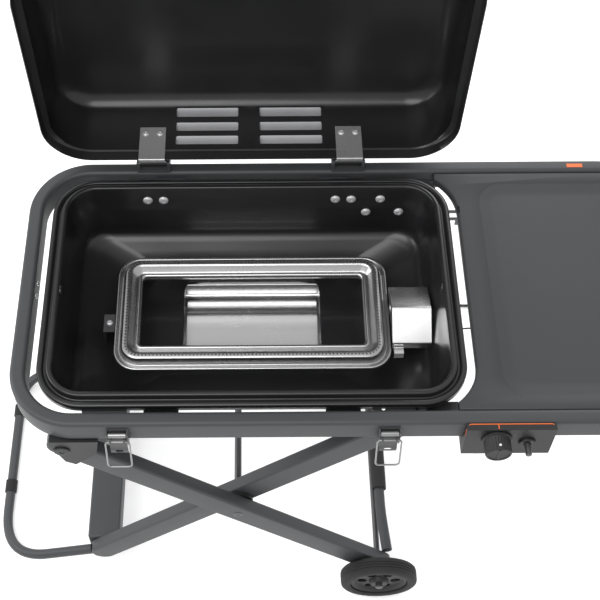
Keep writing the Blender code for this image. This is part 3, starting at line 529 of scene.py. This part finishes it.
def make_burner():
    centre = (BURNER_X, BURNER_Y)
    profile = [
        (0.6, 624), (0, 624.6), (0, 628), (1.2, 629), (4.2, 629.2), (5.4, 628.4), (6.6, 626.3), (10, 626),
        (10.9, 627), (12.6, 637), (14, 640.6), (16.5, 642.2), (23.4, 643), (25.4, 642.4), (27.4, 640.6),
        (33.4, 632.6), (35.6, 631.1), (37, 631.2), (37.8, 633.6), (39, 635.2), (41.4, 635.6), (43.6, 634.2),
        (44.5, 631.6), (44.5, 624.6), (43.9, 624),
    ]
    loops = [
        rounded_rect(centre, BURNER_HALF_X - d, BURNER_HALF_Y - d, max(BURNER_CORNER - d * 0.8, 8), z, 16, 4)
        for d, z in profile
    ]
    piece("burner_ring", loft(loops, closed=True), BURNER_STEEL, "frame", ["burner"], sharp=55)

    # The ports are painted shade: dark dots on the ring where the holes would be dark inside.
    ports = []
    for inset, pitch, height, rear_only in ((20.5, 6.2, 642.6, False), (15.8, 4.4, 641.7, True)):
        half_x, half_y, corner = BURNER_HALF_X - inset, BURNER_HALF_Y - inset, BURNER_CORNER - inset * 0.8
        path = rounded_rect(centre, half_x, half_y, corner, height, 10)
        path = [Vector(p) for p in path] + [Vector(path[0])]
        left_over = 0.0
        for start, end in zip(path, path[1:]):
            run = end - start
            along = left_over
            while along < run.length:
                seat = start + run.normalized() * along
                if not rear_only or seat.y > BURNER_Y + 60:
                    dot = [(1.4, 0), (1.4, 0.65), (1.1, 0.72)]
                    ports.append(turned(seat - Vector((0, 0, 0.4)), (0, 0, 1), dot, 8))
                along += pitch
            left_over = along - run.length
    piece("burner_ports", joined(ports), PORT_PAINTED_SHADE, "frame")

    tab_x = BURNER_X - BURNER_HALF_X - 0.3
    piece("burner_tab_screw", screw((tab_x - 9, 243, 628.0), (0, 0, 1), 5.5, 3.0), ZINC, "frame")

    roof = rounded_route([(190, 627), (190, 641), (243, 672), (300, 648), (300, 629)], 2.5, 4)
    piece("heat_shield", prism(strip(roof, 1.4), 227.5, 293.5, "x"), M["aluminium"], "frame",
          ["burner_heat_shield"], sharp=40)
    cheek = rounded_route([(191.2, 631), (191.2, 640.6), (243, 670.6), (298.8, 647), (298.8, 631)], 1.5, 3)
    piece("heat_shield_cheek", prism(cheek, 228.2, 229.4, "x"), M["aluminium"], "frame")
    foot = rounded_route([(174, 622), (174, 634), (188, 634), (188, 622)], 2, 3)
    piece("shield_foot", prism(strip(foot, 1.6), 230, 246, "x"), M["aluminium"], "frame")


def make_tray():
    def ring(inset, z):
        corner = max(24 - inset, 9.0)
        return rounded_rect((BOX_X, BOX_Y), TRAY_HALF_X - inset, TRAY_HALF_Y - inset, corner, z, 10)

    inside = [(0.5, TRAY_TOP), (13, TRAY_TOP), (14.5, TRAY_TOP - 1), (19, TRAY_TOP - 21),
              (22, TRAY_TOP - 24.2), (27, TRAY_TOP - 25)]
    under = [(27, TRAY_TOP - 26.5), (21, TRAY_TOP - 25.6), (17.5, TRAY_TOP - 22), (13.2, TRAY_TOP - 2),
             (0.5, TRAY_TOP - 1.5), (0, TRAY_TOP - 0.8)]
    loops = [ring(d, z) for d, z in (inside[::-1] + under[::-1])]
    piece("drip_pan", loft(loops), M["aluminium"], "drip_tray", ["drip_tray"], sharp=50)
    crown = eased([
        (165, 514.4), (170, 515.4), (215, 518.2), (260, 522.7), (300, 528.7), (326, 532.2), (361, 514.4),
    ], 4)
    ridge = prism(crown, BOX_X - TRAY_HALF_X + 31, BOX_X + TRAY_HALF_X - 31, "x")
    piece("drip_pan_crown", ridge, M["aluminium"], "drip_tray", sharp=25)


# ---------------------------------------------------------------- lid


def make_lid():
    def ring(step, inset, z):
        corner = LID_CORNER - min(step + inset, 24.0)
        return rounded_rect((BOX_X, BOX_Y), LID_HALF_X - step - inset, LID_HALF_Y - inset, corner, z, 20, 8)

    band = [
        (0.8, 0.8, 717.6), (0, 0, 718.6), (0, 0, 732.6), (0.7, 0, 734.8), (8.2, 0, 740.8), (LID_STEP, 0, 743),
    ]
    wall = [
        (0, LID_BEND), (1.2, 808), (3, 827), (4.7, 835.6), (5.8, 838.2),
        (15.4, 847.6), (17.6, 849.2), (24, 852),
    ]
    crown = eased([(24, 852), (60, 858), (110, 861), (150, 862)], 4)
    outside = band + [(LID_STEP, inset, z) for inset, z in wall + crown[1:]]
    inner_crown = [(LID_STEP, inset, z - SHEET) for inset, z in crown[1:]]
    inner_wall = [(SHEET, LID_BEND), (5, 827), (6.8, 836.2), (17.6, 846.6), (25, 850)]
    inside = [(0, SHEET, 718.4), (0, SHEET, 733), (4, SHEET, 736.8), (5.5, SHEET + 1.6, 738.4)]
    inside += [(LID_STEP, SHEET + 1.6, 741.6), (LID_STEP, SHEET, 744)]
    inside += [(LID_STEP, inset, z) for inset, z in inner_wall] + inner_crown
    windows, linings, hoods = [], [], []
    for column in (-74, 74):
        for row in LOUVRE_ROWS:
            x = LOUVRE_X + column
            outline = rounded_route([
                (x - 55, row), (x - 55, row - 10), (x + 55, row - 10), (x + 55, row + 10),
                (x - 55, row + 10), (x - 55, row),
            ], 3, 3)[:-1]
            windows.append(swing_open(prism(outline, LID_BACK - 16, LID_BACK + 6, "y")))
            back = LID_BACK - 0.6 - max(row - LID_BEND, 0) * 0.09
            route = [(back, row + 11), (back + 2.2, row + 8), (back + 4.8, row), (back + 6.2, row - 11)]
            # Each lining is a painted highlight: a light grey sheet under the black hood, where the scoop
            # catches light.
            linings.append(swing_open(prism(strip(route, 0.9), x - 56, x + 56, "x")))
            route = [(y + 0.8, z + 0.6) for y, z in route]
            hoods.append(swing_open(prism(strip(route, 0.9), x - 57, x + 57, "x")))
    shell = loft([ring(*row) for row in outside[::-1] + inside])
    piece("lid_bowl", swing_open(shell), M["enamel"], "lid", ["lid_shell"], sharp=50, cuts=windows)
    piece("louvre_linings_painted_light", joined(linings), LOUVRE_PAINTED_LIGHT, "lid", sharp=60)
    piece("louvre_hoods", joined(hoods), M["enamel"], "lid", sharp=60)

    posts = soft_corners([
        (BOX_X - GRIP_HALF, LID_FRONT - 0.3, GRIP_Z),
        (BOX_X - GRIP_HALF, LID_FRONT - GRIP_REACH, GRIP_Z),
        (BOX_X + GRIP_HALF, LID_FRONT - GRIP_REACH, GRIP_Z),
        (BOX_X + GRIP_HALF, LID_FRONT - 0.3, GRIP_Z),
    ], 26, 12)
    grip = swing_open(bent_tube(posts, 9.0, 24))
    piece("lid_grip_bar", grip, M["dark_steel"], "lid", ["lid_handle"])


def make_hinges():
    wall = LID_BACK - SHEET - 1.4
    under = LID_RIM - 1.4
    half = HINGE_WIDTH / 2
    route = rounded_route([
        (wall, LEAF_TOP), (wall, under), (LID_BACK + 4, under), (HINGE_Y - 5.5, HINGE_Z - 2.2),
    ], 2.2, 4)
    for place, x in (("left", BOX_X - HINGE_SPREAD), ("right", BOX_X + HINGE_SPREAD)):
        leaf = swing_open(prism(strip(route, 2.2), x - half, x + half, "x"))
        piece(f"hinge_strap_{place}", leaf, HINGE_STEEL, "lid", [f"hinge_leaf_{place}"], bevel=0.9)
        roll = turned((x - half, HINGE_Y, HINGE_Z), (1, 0, 0), [
            (2.8, 0), (5.6, 0), (6, 0.4), (6, HINGE_WIDTH - 0.4), (5.6, HINGE_WIDTH), (2.8, HINGE_WIDTH),
        ], 28, closed=True)
        piece(f"hinge_knuckle_{place}", swing_open(roll), M["black_plastic"], "lid")
        heads = [screw((x + dx, wall - 1.1, LID_RIM + 57.5), (0, -1, 0), 6.0, 3.0) for dx in (-12.4, 12.4)]
        piece(f"hinge_screws_{place}", swing_open(joined(heads)), ZINC, "lid")


# ---------------------------------------------------------------- legs


def make_legs():
    a_front, b_front = (0.0, LEG_DEPTH), (LEG_B_FRONT, LEG_B_FRONT + LEG_DEPTH)
    legs = {
        "leg_a_front": ("legs_a", TOP_LEFT, LOW_RIGHT, a_front),
        "leg_a_rear": ("legs_a", TOP_LEFT, LOW_RIGHT, (FRAME_BACK - LEG_DEPTH, FRAME_BACK)),
        "leg_b_front": ("legs_b", LOW_LEFT, TOP_RIGHT, b_front),
        "leg_b_rear": ("legs_b", LOW_LEFT, TOP_RIGHT, (FRAME_BACK - b_front[1], FRAME_BACK - b_front[0])),
    }
    for name, (owner, start, end, (low, high)) in legs.items():
        loops = []
        for step in range(17):
            turn = pi * step / 16
            middle = low + LEG_EDGE if step <= 8 else high - LEG_EDGE
            depth = middle - LEG_EDGE * cos(turn)
            inset = LEG_EDGE - LEG_EDGE * sin(turn)
            loops.append([(x, depth, z) for x, z in stadium(start, end, LEG_HALF - inset)])
        piece(f"{name}_tube", loft(loops), M["frame_paint"], owner, [name], sharp=60)

    x, z = CROSSING
    caps = []
    for y, way in ((0.2, -1), (FRAME_BACK - 0.2, 1)):
        head = [(8.5, -0.4), (8.5, 0.5), (7.6, 1.2), (4.2, 1.4), (3.9, 0.6)]
        caps.append(turned((x, y, z), (0, way, 0), head, 28))
    piece("crossing_bolts", joined(caps), M["dark_steel"], "legs_a")

    x, z = TOP_LEFT
    bosses = []
    for y, way in ((-5.6, -1), (FRAME_BACK + 5.6, 1)):
        boss = [(13.5, -1.6), (13.5, 0.4), (12, 1.6), (5, 2.0), (4.4, 1.2)]
        bosses.append(turned((x, y, z), (0, way, 0), boss, 32))
    piece("pivot_caps", joined(bosses), M["black_plastic"], "frame")


def make_feet():
    x, z = LOW_LEFT
    front, rear = LEG_B_FRONT + LEG_DEPTH / 2, FRAME_BACK - LEG_B_FRONT - LEG_DEPTH / 2
    run = (Vector((FOOT_X, 0, RING_RADIUS)) - Vector((x, 0, z))).normalized()
    root = Vector((x, 0, z)) + run * (LEG_HALF + 0.8)
    middle = (FOOT_X, MIDDLE_Y, RING_RADIUS)
    route = soft_corners([(root.x, front, root.z), (FOOT_X, front, RING_RADIUS), middle], 115, 24)
    route += soft_corners([middle, (FOOT_X, rear, RING_RADIUS), (root.x, rear, root.z)], 68, 20)[1:]
    bar = bent_tube(route, FOOT_RADIUS, 28)
    piece("foot_tube", bar, M["frame_paint"], "legs_b", ["foot_bar"])
    for name, y in (("foot_ring_front", 208.0), ("foot_ring_rear", 390.0)):
        profile = [(10.3, 0)]
        for rib in range(6):
            base = rib * RING_WIDTH / 6
            profile += [(11.6, base + 0.1), (RING_RADIUS, base + 0.9)]
            profile += [(RING_RADIUS, base + 3.4), (11.6, base + 4.3)]
        profile += [(10.3, RING_WIDTH)]
        ring = turned((FOOT_X, y - RING_WIDTH / 2, RING_RADIUS), (0, 1, 0), profile, 32, closed=True)
        piece(f"{name}_ribbed", ring, M["rubber"], "legs_b", [name])
    x, z = LOW_RIGHT[0] + 10, LOW_RIGHT[1] + 24
    profile = [(11, 0), (14, 0), (15, 1.2), (15, 206.8), (14, 208), (11, 208)]
    grip = turned((x, 158, z), (0, 1, 0), profile, 32, closed=True)
    piece("bar_grip", grip, M["rubber"], "legs_a", ["cross_bar_sleeve"])


def make_wheels():
    x, z = LOW_RIGHT
    r = z
    for side, y, way in (("front", -4, -1), ("rear", FRAME_BACK + 4, 1)):
        owner = f"wheel_{side}"
        tread = [(57, 2), (60, 0.6), (66, 0), (r - 4, 1.6), (r - 1, 4.5), (r, 9)]
        for rib in (12.0, 17.0, 22.0):
            tread += [(r, rib - 0.9), (r - 1.2, rib - 0.6), (r - 1.2, rib + 0.6), (r, rib + 0.9)]
        tread += [(r, 25), (r - 1, 29.5), (r - 4, 32.4), (66, 34), (60, 33.4), (57, 32)]
        tyre = turned((x, y, z), (0, way, 0), tread, 72, closed=True)
        piece(f"tyre_{side}", tyre, M["rubber"], owner, [owner])
        hub = [
            (6.4, 2), (16, 2), (18, 4), (20, 10), (46, 11), (50, 7), (55, 5), (56.6, 7),
            (56.6, 27), (55, 29), (50, 27), (46, 23), (20, 24), (18, 30), (16, 32), (6.4, 32),
        ]
        holes = []
        for k in range(6):
            turn = pi / 3 * k
            seat = Vector((x + 33 * cos(turn), y - way * 4, z + 33 * sin(turn)))
            holes.append(turned(seat, (0, way, 0), [(9.5, 0), (9.5, 42)], 24))
        piece(f"hub_{side}", turned((x, y, z), (0, way, 0), hub, 64, closed=True), M["black_plastic"], owner,
              cuts=holes)
        cap = turned((x, y + way * 36.4, z), (0, way, 0), [(8, -1), (8, 1), (6.6, 2.6), (3, 3.2)], 28)
        piece(f"axle_cap_{side}", cap, M["dark_steel"], "legs_a")


# ---------------------------------------------------------------- controls and latches


def panel_out():
    run = Vector((0, PANEL_LOW_Y - PANEL_TOP_Y, PANEL_LOW - PANEL_TOP)).normalized()
    return Vector((0, run.z, -run.y)), -run


def on_panel(x, z):
    share = (PANEL_TOP - z) / (PANEL_TOP - PANEL_LOW)
    return Vector((x, PANEL_TOP_Y + share * (PANEL_LOW_Y - PANEL_TOP_Y), z))


def make_controls():
    out, up = panel_out()
    outline = [(-0.3, PANEL_TOP), (PANEL_TOP_Y, PANEL_TOP), (PANEL_LOW_Y, PANEL_LOW), (20, PANEL_LOW),
               (20, FRAME_BOTTOM - 0.3), (-0.3, FRAME_BOTTOM - 0.3)]
    shape = prism(outline, PANEL_LEFT, PANEL_RIGHT, "x")
    seat = on_panel(IGNITER_X, IGNITER_Z)
    well = turned(seat - out * 14, out, [(5.5, 0), (5.5, 24)], 32)
    piece("control_housing", shape, M["black_plastic"], "frame", ["control_panel"],
          bevel=3.5, cuts=[well])

    ends = ((PANEL_LEFT + 0.4, -10.5, 700), (PANEL_LEFT + 0.6, -7, 716.5), (PANEL_LEFT + 5, -1.5, 719.4),
            (PANEL_RIGHT - 5, -1.5, 719.4), (PANEL_RIGHT - 0.6, -7, 716.5))
    edge_line = soft_corners(ends, 3, 5)
    tick = [Vector((KNOB_X, y, PANEL_TOP)) for y in (-2, -10)]
    lines = [bent_tube(line, 0.9, 10) for line in (edge_line, tick)]
    piece("orange_lines", joined(lines), ORANGE, "frame")

    collar = [(5.5, 0), (13.5, 0), (13.5, 3), (12.4, 4.6), (6.4, 4.6), (5.5, 3.8)]
    collar = turned(seat, out, collar, 40, closed=True)
    piece("igniter_collar", collar, M["black_plastic"], "frame")
    plunger = [(4, -9), (5, -8), (5, 22.4), (4.7, 23.4), (3.8, 24), (2.2, 24.2)]
    plunger = turned(seat, out, plunger, 32)
    piece("igniter_plunger", plunger, M["dark_steel"], "igniter_button", ["igniter_button"])

    base = on_panel(KNOB_X, KNOB_Z) + out * 0.6
    side = Vector((1, 0, 0))
    loops = []
    for radius, along, ribs in (
        (24, 0, 0), (24, 2.2, 0), (23, 3.4, 0), (21.4, 4.2, 0), (20.8, 5.2, 0.4), (20.4, 25, 0.4),
        (19.8, 26.8, 0.3), (18.2, 28, 0), (17.0, 28, 0), (16.4, 26.8, 0), (6, 26.6, 0),
    ):
        ring = []
        for k in range(120):
            turn = 2 * pi * k / 120
            reach = radius + ribs * (1 if k % 4 < 2 else -1)
            ring.append(base + out * along + (side * cos(turn) + up * sin(turn)) * reach)
        loops.append(ring)
    piece("gas_knob", loft(loops), M["black_plastic"], "control_knob", ["control_knob"],
          sharp=35)
    bar = [base + up * s * 14 + out * 24.8 for s in (-1, 1)]
    piece("knob_blade", bent_tube(bar, 3.4, 16), M["black_plastic"], "control_knob")
    dot = turned(base + up * 19.6 + out * 21.0, up, [(2.0, 0), (2.0, 1.6), (1.5, 1.9)], 16)
    piece("knob_dot", dot, WHITE_MARK, "control_knob")


def make_latches():
    for place, x in LATCH_X.items():
        front = LATCH_PIN_Y - 4.4
        owner = f"latch_lever_{place}"
        route = rounded_route([
            (front + 0.9, LATCH_PIN_Z), (front + 0.9, 668), (front - 0.6, 661), (front - 0.6, 652),
            (front + 2.4, 648.2),
        ], 4, 4)
        oval = rounded_route([
            (x - 6, 658), (x - 6, 654), (x + 6, 654), (x + 6, 662), (x - 6, 662), (x - 6, 658),
        ], 4, 5)[:-1]
        plate = prism(strip(route, 1.6), x - LEVER_HALF, x + LEVER_HALF, "x")
        piece(f"lever_plate_{place}", plate, GREY_LEVER, owner, [owner], bevel=0.4,
              cuts=[prism(oval, front - 8, front + 8, "y")])
        roll = turned((x - LEVER_HALF, LATCH_PIN_Y, LATCH_PIN_Z), (1, 0, 0), [
            (2.6, 0), (4.1, 0), (4.4, 0.4), (4.4, 2 * LEVER_HALF - 0.4), (4.1, 2 * LEVER_HALF),
            (2.6, 2 * LEVER_HALF),
        ], 24, closed=True)
        piece(f"lever_roll_{place}", roll, WIRE, owner)
        lugs = []
        for dx in (-12.5, 9.5):
            lug = [(front - 0.2, BAIL_Z + 4), (BAIL_Y - 2.4, BAIL_Z + 3), (BAIL_Y - 3.2, BAIL_Z),
                   (BAIL_Y - 2.4, BAIL_Z - 3), (front - 0.2, BAIL_Z - 4)]
            hole = turned((x + dx - 1, BAIL_Y, BAIL_Z), (1, 0, 0), [(1.8, 0), (1.8, 6)], 16)
            lugs.append((prism(lug, x + dx, x + dx + 3, "x"), hole))
        for i, (lug, hole) in enumerate(lugs):
            piece(f"bail_lug_{place}_{i}", lug, GREY_LEVER, owner, bevel=0.4, cuts=[hole])

        low_y, low_z = BAIL_Y - BAIL_LENGTH * sin(BAIL_LEAN), BAIL_Z - BAIL_LENGTH * cos(BAIL_LEAN)
        loop = soft_corners([
            (x - BAIL_HALF, BAIL_Y, BAIL_Z), (x + BAIL_HALF, BAIL_Y, BAIL_Z),
            (x + BAIL_HALF, low_y, low_z), (x - BAIL_HALF, low_y, low_z),
        ], 7, 8, closed=True)
        bail = f"latch_bail_{place}"
        piece(f"bail_wire_{place}", bent_tube(loop, 1.5, 16, closed=True), WIRE, bail, [bail])
        rivets = [screw((x + dx, -2.4, 680), (0, -1, 0), 2.6, 1.6, socket=False) for dx in (-8, 8)]
        piece(f"latch_rivets_{place}", joined(rivets), M["steel"], "frame")


# ---------------------------------------------------------------- studio


def plain(name, colour, roughness, glow):
    made = bpy.data.materials.new(name)
    made.use_nodes = True
    shader = made.node_tree.nodes["Principled BSDF"]
    shader.inputs["Base Color"].default_value = (*colour, 1)
    shader.inputs["Roughness"].default_value = roughness
    shader.inputs["Emission Color"].default_value = (1, 1, 1, 1)
    shader.inputs["Emission Strength"].default_value = glow
    return made


def area_light(name, place, target, size, power):
    lamp = bpy.data.lights.new(name, "AREA")
    lamp.shape = "RECTANGLE"
    lamp.size, lamp.size_y = size
    lamp.energy = power
    made = bpy.data.objects.new(name, lamp)
    bpy.context.scene.collection.objects.link(made)
    made.location = place
    made.rotation_euler = (Vector(target) - Vector(place)).to_track_quat("-Z", "Y").to_euler()


def make_studio():
    scene = bpy.context.scene
    scene.view_settings.view_transform = "Standard"
    world = bpy.data.worlds.new("studio")
    world.use_nodes = True
    sky = world.node_tree.nodes["Background"]
    sky.inputs["Color"].default_value = (1, 1, 1, 1)
    sky.inputs["Strength"].default_value = 0.75
    scene.world = world

    shape = bmesh.new()
    bmesh.ops.create_grid(shape, x_segments=2, y_segments=2, size=8.0)
    mesh = bpy.data.meshes.new("floor")
    shape.to_mesh(mesh)
    shape.free()
    floor = bpy.data.objects.new("floor", mesh)
    floor.data.materials.append(plain("pale_floor", (0.9, 0.9, 0.9), 0.8, 0.3))
    scene.collection.objects.link(floor)

    area_light("key", (-0.8, -1.2, 3.2), (0, 0, 0.7), (2.4, 1.6), 45)
    area_light("back", (0.3, 2.6, 2.6), (0, 0, 0.8), (3.0, 1.2), 60)
    area_light("side", (-2.6, 0.2, 1.6), (0, 0, 0.7), (1.6, 1.6), 25)


def make_camera():
    """The view from above the front edge, looking down on the open firebox."""
    pitch_down, roll = radians(57.4), -0.0067
    camera = bpy.data.cameras.new("camera")
    camera.sensor_width = 36.0
    camera.lens = 69.3
    camera.shift_x = 0.07
    camera.clip_end = 50.0
    made = bpy.data.objects.new("camera", camera)
    bpy.context.scene.collection.objects.link(made)
    made.location = to_row((0.0, -800.0, FRAME_TOP + 1609.0))
    level = Matrix.Rotation(pi / 2 - pitch_down, 3, "X")
    made.rotation_euler = (level @ Matrix.Rotation(roll, 3, "Z")).to_euler()
    bpy.context.scene.camera = made


make_camera()
make_frame()
make_table()
make_firebox()
make_burner()
make_tray()
make_lid()
make_hinges()
make_legs()
make_feet()
make_wheels()
make_controls()
make_latches()
make_studio()
